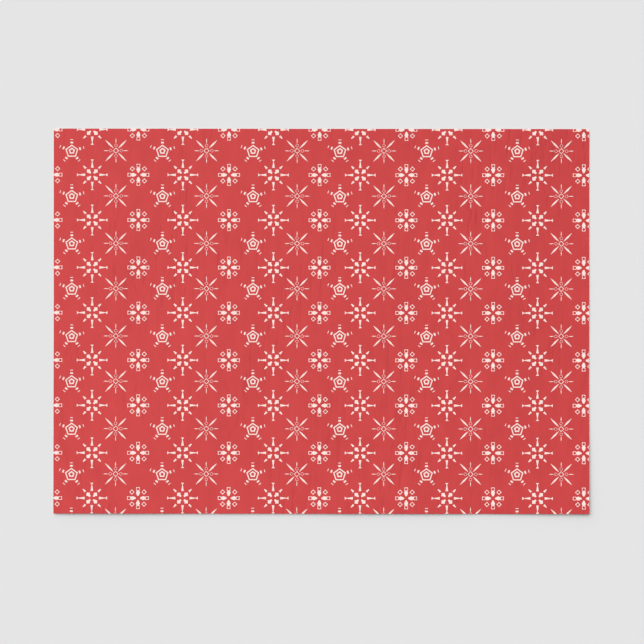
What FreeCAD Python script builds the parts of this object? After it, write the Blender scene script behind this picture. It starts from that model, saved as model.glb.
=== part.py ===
import FreeCAD, Part
import math
import os

# A cut sheet of light wrapping paper, printed on its upper face, lying flat.
# Frame: +X along the long side, +Y along the short side, +Z up out of the printed face.
# The origin is the centre of the face that the sheet lies on. Millimetres throughout.

# The sheet, and the two layers that it is made of.
sheet_length = 354.0
sheet_width = 254.4
paper_thickness = 0.05
ink_thickness = 0.01

# The printed repeat. Columns stand two wide steps and then two narrow ones apart. The
# whole rows of stars stand a near step and a far step apart in turn, and the trimmed
# rows above and below them a near step.
column_step_wide = 59.9
column_step_narrow = 57.4
row_step_near = 29.9
row_step_far = 31.35
first_column_from_left = 11.9
first_row_from_top = 14.55
whole_star_rows = 8

# Where each kind of snowflake stands in its cell, right of and below the pentagon star.
needle_star_right = 29.15
arrow_flake_right = 13.5
flower_flake_right = 44.0
flake_row_drop = 15.95

# How far each kind reaches from its centre, along its tips and in the notches between them.
pentagon_star_tip = 8.0
pentagon_star_notch = 3.7
needle_star_long_tip = 10.2
needle_star_short_tip = 8.2
needle_star_notch = 2.2
arrow_flake_long_tip = 10.2
arrow_flake_short_tip = 8.6
arrow_flake_notch = 3.4
flower_flake_long_tip = 7.5
flower_flake_short_tip = 7.2
flower_flake_notch = 4.2


def steps_from_start(index, even_pair, odd_pair):
    """How far the place with this index lies from place 0, over steps that take turns."""
    steps = [even_pair, odd_pair]
    turns = range(index) if index > 0 else range(index, 0)
    distance = sum(steps[turn % 2] for turn in turns)
    return distance if index > 0 else -distance


def column_x(index):
    """The X of a column of pentagon stars: two wide steps, two narrow steps, and so on."""
    pairs, odd_one = divmod(index, 2)
    pair_start = steps_from_start(pairs, 2 * column_step_wide, 2 * column_step_narrow)
    single_step = column_step_narrow if pairs % 2 else column_step_wide
    return first_column_from_left - sheet_length / 2 + pair_start + odd_one * single_step


def row_y(index):
    """The Y of a row of stars, counted downwards from the first whole one."""
    nearest_whole = min(max(index, 0), whole_star_rows - 1)
    drop = steps_from_start(nearest_whole, row_step_near, row_step_far)
    drop += (index - nearest_whole) * row_step_near
    return sheet_width / 2 - first_row_from_top - drop


def star_window(center_x, center_y, tip_radii, notch_radius, points):
    """One open star in the print: tips that take turns between the given radii, and notches."""
    corners = []
    for half_step in range(2 * points):
        angle = math.pi / 2 + half_step * math.pi / points
        on_tip = half_step % 2 == 0
        radius = tip_radii[(half_step // 2) % len(tip_radii)] if on_tip else notch_radius
        corners.append(
            FreeCAD.Vector(
                center_x + radius * math.cos(angle),
                center_y + radius * math.sin(angle),
                paper_thickness,
            )
        )
    return Part.Face(Part.makePolygon(corners + corners[:1]))


def pentagon_star(x, y):
    return star_window(x, y, [pentagon_star_tip], pentagon_star_notch, 5)


def needle_star(x, y):
    return star_window(x, y, [needle_star_short_tip, needle_star_long_tip], needle_star_notch, 8)


def arrow_flake(x, y):
    return star_window(x, y, [arrow_flake_long_tip, arrow_flake_short_tip], arrow_flake_notch, 8)


def flower_flake(x, y):
    return star_window(x, y, [flower_flake_long_tip, flower_flake_short_tip], flower_flake_notch, 8)


# The four kinds that fill one cell: the shape, how far right and how far down it stands.
cell_of_the_repeat = [
    (pentagon_star, 0.0, 0.0),
    (needle_star, needle_star_right, 0.0),
    (arrow_flake, arrow_flake_right, flake_row_drop),
    (flower_flake, flower_flake_right, flake_row_drop),
]


def overlaps_sheet(window, sheet_face):
    """Whether a window's box reaches over any of the sheet."""
    return window.BoundBox.intersect(sheet_face.BoundBox)


def sheet_rectangle(height):
    """The sheet's outline as a face at one height."""
    corner = FreeCAD.Vector(-sheet_length / 2, -sheet_width / 2, height)
    return Part.makePlane(sheet_length, sheet_width, corner)


def paper_sheet():
    """The base paper: one sheet cut square on all four sides."""
    return sheet_rectangle(0.0).extrude(FreeCAD.Vector(0, 0, paper_thickness))


def red_print():
    """The red flood coat, full bleed to the edges and open wherever a snowflake stands."""
    flood = sheet_rectangle(paper_thickness)
    column_count = math.ceil(sheet_length / min(column_step_wide, column_step_narrow)) + 1
    row_count = math.ceil(sheet_width / min(row_step_near, row_step_far)) + 1
    windows = []
    for column in range(-1, column_count):
        for row in range(-1, row_count):
            for snowflake, right, down in cell_of_the_repeat:
                window = snowflake(column_x(column) + right, row_y(row) - down)
                if overlaps_sheet(window, flood):
                    windows.append(window)
    return flood.cut(windows).extrude(FreeCAD.Vector(0, 0, ink_thickness))


def as_solids(shape):
    """Only the closed solids of a shape, as one shape."""
    solids = shape.Solids
    return solids[0] if len(solids) == 1 else Part.makeCompound(solids)


nodes = {
    "paper_sheet": paper_sheet(),
    "red_print": red_print(),
}

os.makedirs("parts", exist_ok=True)
for name, shape in nodes.items():
    as_solids(shape).exportStep(f"parts/{name}.step")
    box = shape.BoundBox
    print(name, len(shape.Solids), "solid,", len(shape.Faces), "faces,", round(shape.Volume, 3), "mm3,",
          [round(v, 3) for v in (box.XLength, box.YLength, box.ZLength)])
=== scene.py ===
import math

import bpy
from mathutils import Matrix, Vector
from mathutils.geometry import delaunay_2d_cdt
from mathutils.kdtree import KDTree


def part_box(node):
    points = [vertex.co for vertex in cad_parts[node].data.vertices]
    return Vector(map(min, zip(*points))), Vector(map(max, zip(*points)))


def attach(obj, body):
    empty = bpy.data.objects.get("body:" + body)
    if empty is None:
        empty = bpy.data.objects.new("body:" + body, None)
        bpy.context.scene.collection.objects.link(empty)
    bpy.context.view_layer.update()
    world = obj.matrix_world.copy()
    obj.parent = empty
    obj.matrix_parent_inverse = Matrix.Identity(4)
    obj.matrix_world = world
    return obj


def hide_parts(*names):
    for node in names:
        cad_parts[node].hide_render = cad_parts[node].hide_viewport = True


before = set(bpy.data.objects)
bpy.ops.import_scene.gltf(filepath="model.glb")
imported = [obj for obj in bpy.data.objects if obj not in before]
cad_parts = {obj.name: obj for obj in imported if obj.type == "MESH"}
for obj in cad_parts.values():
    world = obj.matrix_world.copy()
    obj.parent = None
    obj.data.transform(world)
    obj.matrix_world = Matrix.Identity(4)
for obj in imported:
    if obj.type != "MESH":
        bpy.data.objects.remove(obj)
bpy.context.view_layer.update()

# ---------------------------------------------------------------------------------------
# The snowflake artwork. Four small snowflakes that the print leaves open, so that the
# white paper shows. Each is a set of closed outlines, drawn flat, and where an outline
# lies inside another it is red again. All of them are in millimetres about their centre.

MM = 0.001


def bar(*stations):
    """A closed bar along +X from (distance, half width) stations; both its sides are alike."""
    near_side = [(distance, -half) for distance, half in stations]
    far_side = [(distance, half) for distance, half in reversed(stations)]
    return near_side + far_side


def regular(corners, radius, distance=0.0, first_angle=0.0):
    """A regular outline whose centre lies at a distance along +X."""
    angles = [math.radians(first_angle) + math.tau * k / corners for k in range(corners)]
    return [(distance + radius * math.cos(a), radius * math.sin(a)) for a in angles]


def turned(outline, degrees):
    """An outline turned anticlockwise about the snowflake's centre."""
    c, s = math.cos(math.radians(degrees)), math.sin(math.radians(degrees))
    return [(x * c - y * s, x * s + y * c) for x, y in outline]


def lifted(outline, rise):
    """An outline moved up."""
    return [(x, y + rise) for x, y in outline]


def around(outlines, directions):
    """The same outlines once in each direction."""
    return [turned(outline, direction) for direction in directions for outline in outlines]


AXES = (0, 90, 180, 270)
DIAGONALS = (45, 135, 225, 315)
UP = 90


def pentagon_star():
    """Two pentagon rings, and five arms of two short dashes that are spaced by eye."""
    rings = [
        regular(5, 4.45, first_angle=UP),
        regular(5, 3.53, first_angle=UP),
        lifted(regular(5, 2.18, first_angle=UP), 0.25),
        lifted(regular(10, 1.02, first_angle=UP), 0.25),
    ]
    arms = []
    for direction, near, far in ((90, 5.8, 7.75), (17.7, 5.7, 8.2), (157.3, 5.85, 8.25),
                                 (-51.7, 5.7, 7.75), (-128.6, 5.7, 7.75)):
        near_dash = bar((near - 0.56, 0.72), (near - 0.38, 1.04), (near + 0.56, 0.84))
        far_dash = bar((far - 0.24, 0.84), (far + 0.24, 1.0))
        arms += around([near_dash, far_dash], [direction])
    return [lifted(outline, -0.47) for outline in rings + arms]


def needle_star():
    """Four long blades on the diagonals, four thin rays and a small open diamond."""
    blade = bar((2.05, 0.05), (4.1, 0.42), (6.1, 0.58), (8.0, 0.36), (9.95, 0.04))
    ray = [
        regular(12, 1.03, distance=3.5),
        regular(12, 0.83, distance=3.5),
        bar((4.75, 0.08), (5.4, 0.16), (6.3, 0.26), (7.1, 0.24), (8.2, 0.04)),
    ]
    middle = [regular(4, 2.0), regular(4, 1.44)]
    return around([blade], DIAGONALS) + around(ray, AXES) + middle


def arrow_flake():
    """Four flared arms, four short darts and four blunt arrowheads that point inwards."""
    arm = bar((4.68, 0.86), (8.92, 0.18), (10.1, 1.08))
    dart = bar((6.0, 0.71), (8.32, 0.3))
    head = bar((1.41, 0.51), (2.8, 0.82), (3.44, 1.57), (4.95, 0.06))
    return around([arm], AXES) + around([dart, head], DIAGONALS)


def flower_flake():
    """Four petals, each with a square eyelet at its end, and four open diamonds."""
    petal = [
        bar((1.37, 0.38), (2.1, 0.76), (2.9, 1.12), (3.7, 1.31), (4.25, 1.06), (4.68, 0.7),
            (4.95, 1.14), (7.08, 1.18), (7.18, 1.08)),
        regular(12, 0.92, distance=5.96),
    ]
    diamond = [regular(4, 1.72, distance=5.67, first_angle=45), regular(12, 0.9, distance=5.67)]
    return around(petal, AXES) + around(diamond, DIAGONALS)


def outlines_as_object(name, outlines):
    """One flat object with a face for each outline, wound anticlockwise."""
    points = []
    faces = []
    for outline in outlines:
        area = sum(a[0] * b[1] - b[0] * a[1] for a, b in zip(outline, outline[1:] + outline[:1]))
        corners = outline if area > 0 else outline[::-1]
        faces.append(range(len(points), len(points) + len(corners)))
        points += [(x * MM, y * MM, 0) for x, y in corners]
    mesh = bpy.data.meshes.new(name)
    mesh.from_pydata(points, [], faces)
    artwork = bpy.data.objects.new(name, mesh)
    bpy.context.scene.collection.objects.link(artwork)
    return artwork


# ---------------------------------------------------------------------------------------
# The printed repeat. The printing cylinder lays each snowflake down again and again, in
# columns and rows whose steps take turns, so one node tree does the same with the steps
# below. The rows that the trim cuts, above and below the whole ones, stand a near step off.

paper_low, paper_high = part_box("paper_sheet")
SHEET_LENGTH = paper_high.x - paper_low.x
SHEET_WIDTH = paper_high.y - paper_low.y

REPEAT_SIZES = {
    "Wide Column Step": 59.9 * MM,
    "Narrow Column Step": 57.4 * MM,
    "Near Row Step": 29.9 * MM,
    "Far Row Step": 31.35 * MM,
    "First Column": paper_low.x + 11.9 * MM,
    "First Row": paper_high.y - 14.55 * MM,
    "Last Whole Row": 7.0,
}
REPEAT_COLUMNS = 8
REPEAT_ROWS = 10

# Each kind of snowflake, and how far right and how far down it stands in its cell.
SNOWFLAKES = {
    "pentagon_star": (pentagon_star(), 0.0, 0.0),
    "needle_star": (needle_star(), 29.15 * MM, 0.0),
    "arrow_flake": (arrow_flake(), 13.5 * MM, 15.95 * MM),
    "flower_flake": (flower_flake(), 44.0 * MM, 15.95 * MM),
}


def feed(tree, socket, value):
    """Gives a socket a link or a plain value."""
    if isinstance(value, bpy.types.NodeSocket):
        tree.links.new(value, socket)
    else:
        socket.default_value = value


def add_node(tree, kind, inputs=(), **settings):
    """A node with its settings, and its inputs fed by name or by number."""
    node = tree.nodes.new(kind)
    for setting, value in settings.items():
        setattr(node, setting, value)
    for socket, value in dict(inputs).items():
        feed(tree, node.inputs[socket], value)
    return node


def calculate(tree, operation, *values):
    """The result of one Math node."""
    return add_node(tree, "ShaderNodeMath", enumerate(values), operation=operation).outputs[0]


def new_tree(name, kind, inputs, outputs):
    """A node group with named inputs and outputs, and the two nodes that carry them."""
    tree = bpy.data.node_groups.new(name, kind)
    for label, socket_type in inputs:
        tree.interface.new_socket(label, in_out="INPUT", socket_type=socket_type)
    for label, socket_type in outputs:
        tree.interface.new_socket(label, in_out="OUTPUT", socket_type=socket_type)
    return tree, tree.nodes.new("NodeGroupInput").outputs, tree.nodes.new("NodeGroupOutput").inputs


def build_repeat_tree():
    """Copies the snowflake that it is given to each place of the repeat."""
    numbers = list(REPEAT_SIZES) + ["Right", "Down"]
    inputs = [("Snowflake", "NodeSocketGeometry")]
    inputs += [(label, "NodeSocketFloat") for label in numbers]
    inputs += [("Columns", "NodeSocketInt"), ("Rows", "NodeSocketInt")]
    inputs += [("Material", "NodeSocketMaterial")]
    tree, given, result = new_tree(
        "snowflake_repeat", "GeometryNodeTree", inputs, [("Print", "NodeSocketGeometry")]
    )
    place = tree.nodes.new("GeometryNodeInputIndex").outputs[0]
    along = calculate(tree, "FLOORED_MODULO", place, given["Columns"])
    column = calculate(tree, "SUBTRACT", along, 1.0)
    full_rows = calculate(tree, "FLOOR", calculate(tree, "DIVIDE", place, given["Columns"]))
    row = calculate(tree, "SUBTRACT", full_rows, 1.0)

    # Columns come in pairs: a pair of wide steps, then a pair of narrow ones.
    wide, narrow = given["Wide Column Step"], given["Narrow Column Step"]
    pair = calculate(tree, "FLOOR", calculate(tree, "DIVIDE", column, 2.0))
    second_in_pair = calculate(tree, "FLOORED_MODULO", column, 2.0)
    narrow_pair = calculate(tree, "FLOORED_MODULO", pair, 2.0)
    both_pairs = calculate(tree, "FLOOR", calculate(tree, "DIVIDE", pair, 2.0))
    span_of_both = calculate(tree, "MULTIPLY", calculate(tree, "ADD", wide, narrow), 2.0)
    narrower_by = calculate(tree, "SUBTRACT", narrow, wide)
    step_here = calculate(tree, "MULTIPLY_ADD", narrow_pair, narrower_by, wide)
    x = calculate(tree, "MULTIPLY_ADD", both_pairs, span_of_both, given["First Column"])
    x = calculate(tree, "MULTIPLY_ADD", narrow_pair, calculate(tree, "MULTIPLY", wide, 2.0), x)
    x = calculate(tree, "MULTIPLY_ADD", second_in_pair, step_here, x)
    x = calculate(tree, "ADD", x, given["Right"])

    # Whole rows take a near step and a far step in turn, downwards.
    near = given["Near Row Step"]
    whole_row = calculate(tree, "MAXIMUM", 0.0, calculate(tree, "MINIMUM", row, given["Last Whole Row"]))
    row_pair = calculate(tree, "FLOOR", calculate(tree, "DIVIDE", whole_row, 2.0))
    second_row = calculate(tree, "FLOORED_MODULO", whole_row, 2.0)
    trimmed_rows = calculate(tree, "SUBTRACT", row, whole_row)
    span_of_rows = calculate(tree, "ADD", near, given["Far Row Step"])
    fall = calculate(tree, "MULTIPLY_ADD", row_pair, span_of_rows, given["Down"])
    fall = calculate(tree, "MULTIPLY_ADD", calculate(tree, "ADD", second_row, trimmed_rows), near, fall)
    y = calculate(tree, "SUBTRACT", given["First Row"], fall)

    position = add_node(tree, "ShaderNodeCombineXYZ", {"X": x, "Y": y}).outputs[0]
    count = calculate(tree, "MULTIPLY", given["Columns"], given["Rows"])
    places = add_node(tree, "GeometryNodePoints", {"Count": count, "Position": position}).outputs[0]
    copies = add_node(
        tree, "GeometryNodeInstanceOnPoints", {"Points": places, "Instance": given["Snowflake"]}
    ).outputs[0]
    whole = add_node(tree, "GeometryNodeRealizeInstances", {"Geometry": copies}).outputs[0]
    finished = add_node(
        tree, "GeometryNodeSetMaterial", {"Geometry": whole, "Material": given["Material"]}
    ).outputs[0]
    feed(tree, result["Print"], finished)
    return tree


def run_tree(carrier, tree, values, name):
    """The plain mesh that a tree makes of an object's mesh. The carrier is removed."""
    modifier = carrier.modifiers.new(tree.name, "NODES")
    modifier.node_group = tree
    for item in tree.interface.items_tree:
        if item.in_out == "INPUT" and item.name in values:
            modifier[item.identifier] = values[item.name]
    evaluated = carrier.evaluated_get(bpy.context.evaluated_depsgraph_get())
    mesh = bpy.data.meshes.new_from_object(evaluated)
    mesh.name = name
    bpy.data.objects.remove(carrier)
    return mesh


def repeated_outlines(white):
    """Every outline of the print, as lists of points in millimetres."""
    tree = build_repeat_tree()
    outlines = []
    for name, (artwork, right, down) in SNOWFLAKES.items():
        values = dict(REPEAT_SIZES, Right=right, Down=down, Columns=REPEAT_COLUMNS, Rows=REPEAT_ROWS)
        values["Material"] = white
        mesh = run_tree(outlines_as_object(name, artwork), tree, values, name)
        for face in mesh.polygons:
            outlines.append([mesh.vertices[corner].co.xy / MM for corner in face.vertices])
    return outlines


# ---------------------------------------------------------------------------------------
# Paper. Light, uncoated, warm white wrapping paper: soft fibres felted together, faint
# cloudiness where they lie thicker, and soft crinkles from handling. The red flood print
# on its upper side shows through the underside as a pink cast.

FIBRE_INPUTS = [
    ("Position", "NodeSocketVector"),
    ("Fibre Width", "NodeSocketFloat"),
    ("Cloud Size", "NodeSocketFloat"),
    ("Crinkle Width", "NodeSocketFloat"),
    ("Crinkle Length", "NodeSocketFloat"),
    ("Fibre Relief", "NodeSocketFloat"),
    ("Crinkle Relief", "NodeSocketFloat"),
]
FIBRE_OUTPUTS = [
    ("Fibres", "NodeSocketFloat"),
    ("Clouds", "NodeSocketFloat"),
    ("Crinkles", "NodeSocketFloat"),
    ("Normal", "NodeSocketVector"),
]
PAPER_SURFACE = {
    "Fibre Width": 0.09 * MM,
    "Cloud Size": 7 * MM,
    "Crinkle Width": 3.1 * MM,
    "Crinkle Length": 18 * MM,
    "Fibre Relief": 0.35,
    "Crinkle Relief": 0.9,
}
FIBRE_STRETCH = 14
FIBRE_DIRECTIONS = (8, 67, 128)
FIBRE_SHARPNESS = 9.0
FIBRE_DEPTH = 0.02 * MM
CLOUD_STRETCH = 2.2
CLOUD_SEED = 5.3
CLOUD_DETAIL = 3.0
CRINKLE_DIRECTION = 89
CRINKLE_SEED = 2.7
CRINKLE_DETAIL = 2.0
CRINKLE_RANGE = (0.5, 0.72)
CRINKLE_DEPTH = 0.12 * MM
PATCH_WIDTH = 40 * MM
PATCH_LENGTH = 70 * MM
PATCH_SEED = 9.1
PATCH_RANGE = (0.4, 0.66)


def stretched_noise(tree, position, width, length, degrees=0, seed=0.0, detail=1.0):
    """Smooth noise whose marks are so wide and so long, and run at an angle from +X."""
    turn = add_node(
        tree, "ShaderNodeVectorRotate",
        {"Vector": position, "Angle": math.radians(-degrees)}, rotation_type="Z_AXIS",
    ).outputs[0]
    axes = add_node(tree, "ShaderNodeSeparateXYZ", {"Vector": turn}).outputs
    scaled = add_node(
        tree, "ShaderNodeCombineXYZ",
        {
            "X": calculate(tree, "DIVIDE", axes["X"], length),
            "Y": calculate(tree, "DIVIDE", axes["Y"], width),
            "Z": seed,
        },
    ).outputs[0]
    return add_node(
        tree, "ShaderNodeTexNoise",
        {"Vector": scaled, "Scale": 1.0, "Detail": detail, "Roughness": 0.5},
    ).outputs[0]


def ridges(tree, noise, sharpness):
    """Thin crests where a noise passes its middle value."""
    offset = calculate(tree, "ABSOLUTE", calculate(tree, "SUBTRACT", noise, 0.5))
    crest = calculate(tree, "SUBTRACT", 1.0, calculate(tree, "MULTIPLY", offset, 2.0))
    return calculate(tree, "POWER", crest, sharpness)


def between(tree, value, low, high):
    """0 below low, 1 above high and smooth between."""
    return add_node(
        tree, "ShaderNodeMapRange",
        {"Value": value, "From Min": low, "From Max": high}, interpolation_type="SMOOTHSTEP",
    ).outputs[0]


def build_fibre_group():
    """What every layer of the sheet shows close up: fibres, clouds and crinkles."""
    tree, given, result = new_tree("paper_surface", "ShaderNodeTree", FIBRE_INPUTS, FIBRE_OUTPUTS)
    position, width = given["Position"], given["Fibre Width"]
    length = calculate(tree, "MULTIPLY", width, FIBRE_STRETCH)
    fibres = 0.0
    for seed, direction in enumerate(FIBRE_DIRECTIONS):
        strands = stretched_noise(tree, position, width, length, direction, seed)
        fibres = calculate(tree, "MAXIMUM", fibres, ridges(tree, strands, FIBRE_SHARPNESS))
    cloud_length = calculate(tree, "MULTIPLY", given["Cloud Size"], CLOUD_STRETCH)
    clouds = stretched_noise(
        tree, position, given["Cloud Size"], cloud_length, UP, CLOUD_SEED, CLOUD_DETAIL
    )
    lines = stretched_noise(
        tree, position, given["Crinkle Width"], given["Crinkle Length"],
        CRINKLE_DIRECTION, CRINKLE_SEED, CRINKLE_DETAIL,
    )
    patches = stretched_noise(tree, position, PATCH_WIDTH, PATCH_LENGTH, UP, PATCH_SEED)
    crinkles = calculate(
        tree, "MULTIPLY", between(tree, lines, *CRINKLE_RANGE), between(tree, patches, *PATCH_RANGE)
    )
    fine = add_node(
        tree, "ShaderNodeBump",
        {"Strength": given["Fibre Relief"], "Distance": FIBRE_DEPTH, "Height": fibres},
    ).outputs[0]
    both = add_node(
        tree, "ShaderNodeBump",
        {
            "Strength": given["Crinkle Relief"],
            "Distance": CRINKLE_DEPTH,
            "Height": crinkles,
            "Normal": fine,
        },
        invert=True,
    ).outputs[0]
    results = {"Fibres": fibres, "Clouds": clouds, "Crinkles": crinkles, "Normal": both}
    for label, socket in results.items():
        feed(tree, result[label], socket)
    return tree


def new_material(name):
    """An empty material with its tree, its Principled shader and Object coordinates."""
    material = bpy.data.materials.new(name)
    material.use_nodes = True
    tree = material.node_tree
    tree.nodes.clear()
    shader = tree.nodes.new("ShaderNodeBsdfPrincipled")
    output = tree.nodes.new("ShaderNodeOutputMaterial")
    tree.links.new(shader.outputs[0], output.inputs[0])
    position = tree.nodes.new("ShaderNodeTexCoord").outputs["Object"]
    return material, tree, shader, position


def mix_colors(tree, amount, low, high):
    """Between two colours, by an amount from 0 to 1. The Mix node's colour sockets go by
    number, because its number and vector sockets have the same names."""
    node = add_node(tree, "ShaderNodeMix", data_type="RGBA")
    feed(tree, node.inputs["Factor"], amount)
    feed(tree, node.inputs[6], low)
    feed(tree, node.inputs[7], high)
    return node.outputs[2]


def place_surface_group(tree, position, sizes):
    """The shared surface group in one material, with that material's own values."""
    node = add_node(tree, "ShaderNodeGroup", node_tree=fibre_group)
    feed(tree, node.inputs["Position"], position)
    for label, value in sizes.items():
        feed(tree, node.inputs[label], value)
    return node.outputs


PAPER_THICK = (0.92, 0.74, 0.69, 1)
PAPER_THIN = (0.87, 0.68, 0.63, 1)
PRINT_SHOWING_THROUGH = (0.83, 0.52, 0.49, 1)
PAPER_FIBRES_SHOW = 0.25
SHOW_THROUGH = 1.1
PAPER_ROUGHNESS = 0.74
PAPER_ROUGHNESS_CHANGE = 0.12
PAPER_SPECULAR = 0.3


def build_paper_material():
    """Felted paper, with the print's pink cast on the faces that lie under it."""
    material, tree, shader, position = new_material("warm_white_wrapping_paper")
    surface = place_surface_group(tree, position, PAPER_SURFACE)
    cloudy = mix_colors(tree, surface["Clouds"], PAPER_THIN, PAPER_THICK)
    on_fibres = calculate(tree, "MULTIPLY", surface["Fibres"], PAPER_FIBRES_SHOW)
    fibred = mix_colors(tree, on_fibres, cloudy, PAPER_THICK)
    under_print = add_node(tree, "ShaderNodeAttribute", attribute_name="under_print").outputs["Fac"]
    thin_places = calculate(tree, "SUBTRACT", SHOW_THROUGH, surface["Clouds"])
    show_through = calculate(tree, "MULTIPLY", under_print, thin_places)
    color = mix_colors(tree, show_through, fibred, PRINT_SHOWING_THROUGH)
    roughness = calculate(
        tree, "MULTIPLY_ADD", surface["Clouds"], PAPER_ROUGHNESS_CHANGE, PAPER_ROUGHNESS
    )
    feed(tree, shader.inputs["Base Color"], color)
    feed(tree, shader.inputs["Roughness"], roughness)
    feed(tree, shader.inputs["Normal"], surface["Normal"])
    shader.inputs["Specular IOR Level"].default_value = PAPER_SPECULAR
    return material


fibre_group = build_fibre_group()
paper_material = build_paper_material()

# ---------------------------------------------------------------------------------------
# The sheet itself. One piece of paper, cut square, lying loose on a flat surface. It
# rests on its low spots and ripples by about a millimetre, with shallow cockles that run
# across its short side. The print lies in the same relief, so both come from one tree.

GRID_ALONG = 1.9
GRID_ACROSS = 3.2
CLEAR_OF_OUTLINES = 0.42
CUT_TOLERANCE = 1e-4


def spread(low, high, step):
    """Evenly spaced values from low to high, both included, about a step apart."""
    count = max(1, round((high - low) / step))
    return [low + (high - low) * k / count for k in range(count + 1)]


def cut_sheet(outlines):
    """The sheet as flat triangles, cut along every outline: points, triangles and, for
    each triangle, whether the print covers it. In millimetres."""
    low, high = paper_low.xy / MM, paper_high.xy / MM
    xs, ys = spread(low.x, high.x, GRID_ALONG), spread(low.y, high.y, GRID_ACROSS)
    border = [(x, ys[0]) for x in xs[:-1]] + [(xs[-1], y) for y in ys[:-1]]
    border += [(x, ys[-1]) for x in xs[:0:-1]] + [(xs[0], y) for y in ys[:0:-1]]
    points = [Vector(point) for point in border]
    loops = [range(len(points))]
    for outline in outlines:
        loops.append(range(len(points), len(points) + len(outline)))
        points += outline

    near_outline = KDTree(len(points))
    for index, point in enumerate(points):
        near_outline.insert((point.x, point.y, 0), index)
    near_outline.balance()
    for x in xs[1:-1]:
        for y in ys[1:-1]:
            if near_outline.find((x, y, 0))[2] > CLEAR_OF_OUTLINES:
                points.append(Vector((x, y)))

    cut = delaunay_2d_cdt(points, [], [list(loop) for loop in loops], 0, CUT_TOLERANCE, True)
    cut_points, triangles, loops_over = cut[0], cut[2], cut[5]
    on_sheet = [(t, loops) for t, loops in zip(triangles, loops_over) if 0 in loops]
    printed = [len(loops) % 2 == 1 for _, loops in on_sheet]
    return cut_points, [t for t, _ in on_sheet], printed


def flat_object(name, points, triangles, printed):
    """Flat triangles as an object in metres, without the points that no triangle uses."""
    used = sorted({corner for triangle in triangles for corner in triangle})
    renumbered = {old: new for new, old in enumerate(used)}
    mesh = bpy.data.meshes.new(name)
    mesh.from_pydata(
        [(points[k].x * MM, points[k].y * MM, 0) for k in used],
        [],
        [[renumbered[corner] for corner in triangle] for triangle in triangles],
    )
    under_print = mesh.attributes.new("under_print", "FLOAT", "FACE")
    under_print.data.foreach_set("value", [float(p) for p in printed])
    flat = bpy.data.objects.new(name, mesh)
    bpy.context.scene.collection.objects.link(flat)
    return flat


LAID_SIZES = {
    "Ripple Length": 92 * MM,
    "Ripple Height": 1.55 * MM,
    "Cockle Width": 9 * MM,
    "Cockle Length": 46 * MM,
    "Cockle Height": 0.23 * MM,
    "Edge Lift": 0.3 * MM,
    "Edge Reach": 26 * MM,
    "Front Lift": 0.55 * MM,
    "Front Reach": 110 * MM,
    "Corner Lift": 0.45 * MM,
    "Corner Reach": 85 * MM,
    "Mean Clearance": 0.2 * MM,
    "Seed": 3.7,
    "Half Length": SHEET_LENGTH / 2,
    "Half Width": SHEET_WIDTH / 2,
}
RIPPLE_STRETCH = 1.5
RIPPLE_DIRECTION = 80
COCKLE_DIRECTION = 86
COCKLE_SEED = 4.0
RESTING_BLEND = 0.08 * MM
WELD_DISTANCE = 0.0005 * MM
RIM_ANGLE = 50


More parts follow.
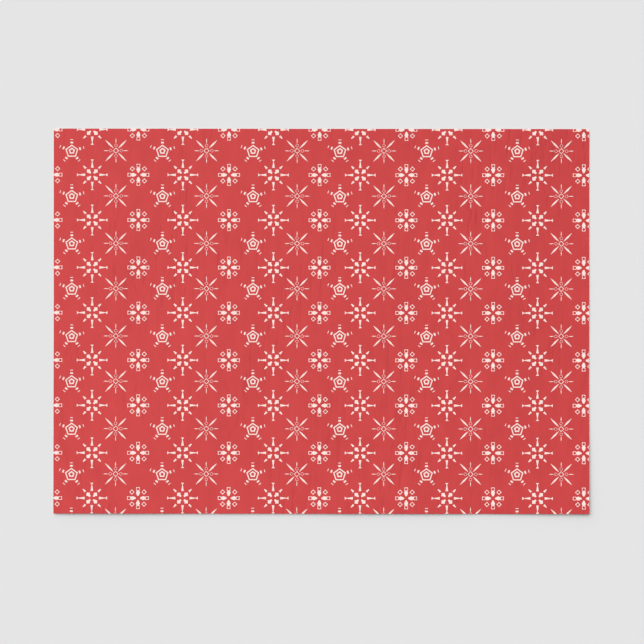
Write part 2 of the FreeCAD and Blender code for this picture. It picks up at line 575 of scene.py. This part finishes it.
def build_laid_tree():
    """Lays a flat layer in the sheet's ripples and gives it its thickness."""
    inputs = [("Flat Layer", "NodeSocketGeometry")]
    numbers = [*LAID_SIZES, "Layer Height", "Layer Thickness"]
    inputs += [(label, "NodeSocketFloat") for label in numbers]
    inputs += [("Material", "NodeSocketMaterial")]
    tree, given, result = new_tree(
        "laid_in_ripples", "GeometryNodeTree", inputs, [("Layer", "NodeSocketGeometry")]
    )
    position = tree.nodes.new("GeometryNodeInputPosition").outputs[0]
    x, y, _ = add_node(tree, "ShaderNodeSeparateXYZ", {"Vector": position}).outputs
    seed = given["Seed"]

    def centred_noise(width, length, degrees, more_seed):
        moved_seed = calculate(tree, "ADD", seed, more_seed)
        noise = stretched_noise(tree, position, width, length, degrees, moved_seed)
        return calculate(tree, "SUBTRACT", noise, 0.5)

    length = given["Ripple Length"]
    across = calculate(tree, "MULTIPLY", length, RIPPLE_STRETCH)
    ripple = centred_noise(length, across, RIPPLE_DIRECTION, 0.0)
    height = calculate(tree, "MULTIPLY_ADD", ripple, given["Ripple Height"], given["Mean Clearance"])
    cockle = centred_noise(
        given["Cockle Width"], given["Cockle Length"], COCKLE_DIRECTION, COCKLE_SEED
    )
    height = calculate(tree, "MULTIPLY_ADD", cockle, given["Cockle Height"], height)

    # The trimmed edges stand a little off the table, the front one and its right-hand
    # corner more than the rest.
    from_end = calculate(tree, "SUBTRACT", given["Half Length"], calculate(tree, "ABSOLUTE", x))
    from_side = calculate(tree, "SUBTRACT", given["Half Width"], calculate(tree, "ABSOLUTE", y))
    from_edge = calculate(tree, "MINIMUM", from_end, from_side)
    at_edge = calculate(tree, "SUBTRACT", 1.0, between(tree, from_edge, 0.0, given["Edge Reach"]))
    height = calculate(tree, "MULTIPLY_ADD", at_edge, given["Edge Lift"], height)
    corner_x = calculate(tree, "SUBTRACT", given["Half Length"], x)
    corner_y = calculate(tree, "ADD", given["Half Width"], y)
    at_front = calculate(tree, "SUBTRACT", 1.0, between(tree, corner_y, 0.0, given["Front Reach"]))
    height = calculate(tree, "MULTIPLY_ADD", at_front, given["Front Lift"], height)
    from_corner = calculate(tree, "SQRT", calculate(
        tree, "ADD", calculate(tree, "POWER", corner_x, 2.0), calculate(tree, "POWER", corner_y, 2.0)
    ))
    at_corner = calculate(tree, "SUBTRACT", 1.0, between(tree, from_corner, 0.0, given["Corner Reach"]))
    height = calculate(tree, "MULTIPLY_ADD", at_corner, given["Corner Lift"], height)
    resting = calculate(tree, "SMOOTH_MAX", height, 0.0, RESTING_BLEND)
    resting = calculate(tree, "ADD", resting, given["Layer Height"])

    lift = add_node(tree, "ShaderNodeCombineXYZ", {"Z": resting}).outputs[0]
    underside = add_node(
        tree, "GeometryNodeSetPosition", {"Geometry": given["Flat Layer"], "Offset": lift}
    ).outputs[0]
    upwards = add_node(tree, "ShaderNodeCombineXYZ", {"Z": given["Layer Thickness"]}).outputs[0]
    raised = add_node(
        tree, "GeometryNodeExtrudeMesh",
        {"Mesh": underside, "Offset": upwards, "Offset Scale": 1.0, "Individual": False},
        mode="FACES",
    ).outputs["Mesh"]
    bottom = add_node(tree, "GeometryNodeFlipFaces", {"Mesh": underside}).outputs[0]
    joined = tree.nodes.new("GeometryNodeJoinGeometry")
    feed(tree, joined.inputs[0], raised)
    feed(tree, joined.inputs[0], bottom)
    closed = add_node(
        tree, "GeometryNodeMergeByDistance",
        {"Geometry": joined.outputs[0], "Distance": WELD_DISTANCE},
    ).outputs[0]
    smooth = add_node(
        tree, "GeometryNodeSetShadeSmooth", {"Geometry": closed, "Shade Smooth": True}
    ).outputs[0]
    edge_angle = tree.nodes.new("GeometryNodeInputMeshEdgeAngle").outputs["Unsigned Angle"]
    is_rim = add_node(
        tree, "FunctionNodeCompare",
        {0: edge_angle, 1: math.radians(RIM_ANGLE)}, operation="GREATER_THAN",
    ).outputs[0]
    crisp = add_node(
        tree, "GeometryNodeSetShadeSmooth",
        {"Geometry": smooth, "Selection": is_rim, "Shade Smooth": False}, domain="EDGE",
    ).outputs[0]
    whole = add_node(tree, "GeometryNodeRealizeInstances", {"Geometry": crisp}).outputs[0]
    finished = add_node(
        tree, "GeometryNodeSetMaterial", {"Geometry": whole, "Material": given["Material"]}
    ).outputs[0]
    feed(tree, result["Layer"], finished)
    return tree


def lay_down(name, triangles, printed, layer_height, thickness, material):
    """One finished layer of the sheet, as its own object at the origin."""
    flat = flat_object(name + "_flat", sheet_points, triangles, printed)
    values = dict(LAID_SIZES, Material=material)
    values["Layer Height"] = layer_height
    values["Layer Thickness"] = thickness
    layer = bpy.data.objects.new(name, run_tree(flat, laid_tree, values, name))
    bpy.context.scene.collection.objects.link(layer)
    return layer


laid_tree = build_laid_tree()
sheet_points, sheet_triangles, sheet_printed = cut_sheet(repeated_outlines(paper_material))
paper_thickness = paper_high.z - paper_low.z
laid_paper = lay_down(
    "laid_paper", sheet_triangles, sheet_printed, 0.0, paper_thickness, paper_material
)
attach(laid_paper, "root")
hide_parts("paper_sheet")

# ---------------------------------------------------------------------------------------
# The red print. A matt flood coat rolled over the whole upper face, out past the trim,
# and soaked in a little, so that the paper's fibres still show. It is rubbed paler on the
# fibres' backs. Painted shade darkens it along the crinkles, and more painted shade makes
# it darker towards the right, standing in for light that falls off away from the left.

INK_DEEP = (0.505, 0.04, 0.043, 1)
INK_FULL = (0.61, 0.057, 0.058, 1)
INK_RUBBED = (0.72, 0.15, 0.14, 1)
PAINTED_FALLOFF_SHADE = 0.22
PAINTED_CRINKLE_SHADE = 0.35
INK_RUBBING = 0.1
INK_ROUGHNESS = 0.7
INK_ROUGHNESS_CHANGE = 0.14
INK_SPECULAR = 0.2
INK_SURFACE = {**PAPER_SURFACE, "Fibre Relief": 0.25}


def build_ink_material():
    """The matt red coat, over the same fibres and crinkles as the paper under it."""
    material, tree, shader, position = new_material("matt_red_flood_print")
    surface = place_surface_group(tree, position, INK_SURFACE)
    along = add_node(tree, "ShaderNodeSeparateXYZ", {"Vector": position}).outputs["X"]
    # Painted shade: the print is made darker towards the right, standing in for light that falls off
    # away from the left.
    painted_falloff_slope = -PAINTED_FALLOFF_SHADE / (SHEET_LENGTH / 2)
    ink_amount_with_painted_shade = calculate(tree, "MULTIPLY_ADD", along, painted_falloff_slope, surface["Clouds"])
    # Painted shade: the print is darkened along the crinkles, where their valleys fall into shade.
    ink_amount_with_painted_shade = calculate(tree, "MULTIPLY_ADD", surface["Crinkles"], -PAINTED_CRINKLE_SHADE, ink_amount_with_painted_shade)
    flood = mix_colors(tree, ink_amount_with_painted_shade, INK_DEEP, INK_FULL)
    rubbed = calculate(tree, "MULTIPLY", surface["Fibres"], INK_RUBBING)
    color = mix_colors(tree, rubbed, flood, INK_RUBBED)
    roughness = calculate(tree, "MULTIPLY_ADD", surface["Clouds"], INK_ROUGHNESS_CHANGE, INK_ROUGHNESS)
    feed(tree, shader.inputs["Base Color"], color)
    feed(tree, shader.inputs["Roughness"], roughness)
    feed(tree, shader.inputs["Normal"], surface["Normal"])
    shader.inputs["Specular IOR Level"].default_value = INK_SPECULAR
    return material


ink_low, ink_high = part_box("red_print")
INK_BOND_GAP = 0.002 * MM
ink_material = build_ink_material()
inked = [(t, p) for t, p in zip(sheet_triangles, sheet_printed) if p]
snowflake_print = lay_down(
    "snowflake_print",
    [t for t, _ in inked],
    [p for _, p in inked],
    paper_thickness + INK_BOND_GAP,
    ink_high.z - ink_low.z,
    ink_material,
)
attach(snowflake_print, "root")
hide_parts("red_print")

# ---------------------------------------------------------------------------------------
# The studio: a plain pale floor, one broad soft key light from the upper left, and even
# light from all round.

FLOOR_HALF_SIZE = 12.0
FLOOR_COLOR = (0.72, 0.72, 0.72, 1)
FLOOR_ROUGHNESS = 0.9
ROOM_LIGHT = 0.17
KEY_LIGHT = 5.0
KEY_FROM_VERTICAL = 55
KEY_FROM_BACK = 38
KEY_SPREAD = 86
BACKGROUND = (0.783, 0.783, 0.783, 1)


def build_floor():
    mesh = bpy.data.meshes.new("studio_floor")
    s = FLOOR_HALF_SIZE
    mesh.from_pydata([(-s, -s, 0), (s, -s, 0), (s, s, 0), (-s, s, 0)], [], [(0, 1, 2, 3)])
    floor = bpy.data.objects.new("studio_floor", mesh)
    bpy.context.scene.collection.objects.link(floor)
    material, _, shader, _ = new_material("pale_studio_floor")
    shader.inputs["Base Color"].default_value = FLOOR_COLOR
    shader.inputs["Roughness"].default_value = FLOOR_ROUGHNESS
    shader.inputs["Specular IOR Level"].default_value = 0.0
    mesh.materials.append(material)


def build_key_light():
    lamp = bpy.data.lights.new("key_light", "SUN")
    lamp.energy = KEY_LIGHT
    lamp.angle = math.radians(KEY_SPREAD)
    key = bpy.data.objects.new("key_light", lamp)
    tilt, turn = math.radians(KEY_FROM_VERTICAL), math.radians(KEY_FROM_BACK)
    level = math.sin(tilt)
    towards = Vector((-level * math.sin(turn), level * math.cos(turn), math.cos(tilt)))
    key.rotation_euler = towards.to_track_quat("Z", "Y").to_euler()
    bpy.context.scene.collection.objects.link(key)


def build_room_light():
    """Even light from all round; the camera sees the background as pale as the floor."""
    world = bpy.data.worlds.new("studio")
    world.use_nodes = True
    tree = world.node_tree
    tree.nodes.clear()
    even = add_node(tree, "ShaderNodeBackground", {"Color": (1, 1, 1, 1), "Strength": ROOM_LIGHT})
    seen = add_node(tree, "ShaderNodeBackground", {"Color": BACKGROUND, "Strength": 1.0})
    choice = tree.nodes.new("ShaderNodeMixShader")
    feed(tree, choice.inputs[0], tree.nodes.new("ShaderNodeLightPath").outputs["Is Camera Ray"])
    feed(tree, choice.inputs[1], even.outputs[0])
    feed(tree, choice.inputs[2], seen.outputs[0])
    output = tree.nodes.new("ShaderNodeOutputWorld")
    feed(tree, output.inputs[0], choice.outputs[0])
    bpy.context.scene.world = world


build_floor()
build_key_light()
build_room_light()
bpy.context.scene.view_settings.view_transform = "Standard"
bpy.context.scene.view_settings.look = "None"

# ---------------------------------------------------------------------------------------
# The camera looks straight down on the sheet, far enough away that nothing leans.

LENS = 85
SENSOR = 36
VIEW_ACROSS = 425.95 * MM
AIM = (0.39 * MM, -0.5 * MM)
ROLL = 0.057

camera_data = bpy.data.cameras.new("overhead_camera")
camera_data.lens = LENS
camera_data.sensor_width = SENSOR
camera = bpy.data.objects.new("overhead_camera", camera_data)
camera.location = (*AIM, paper_low.z + VIEW_ACROSS * LENS / SENSOR)
camera.rotation_euler.z = math.radians(ROLL)
bpy.context.scene.collection.objects.link(camera)
bpy.context.scene.camera = camera
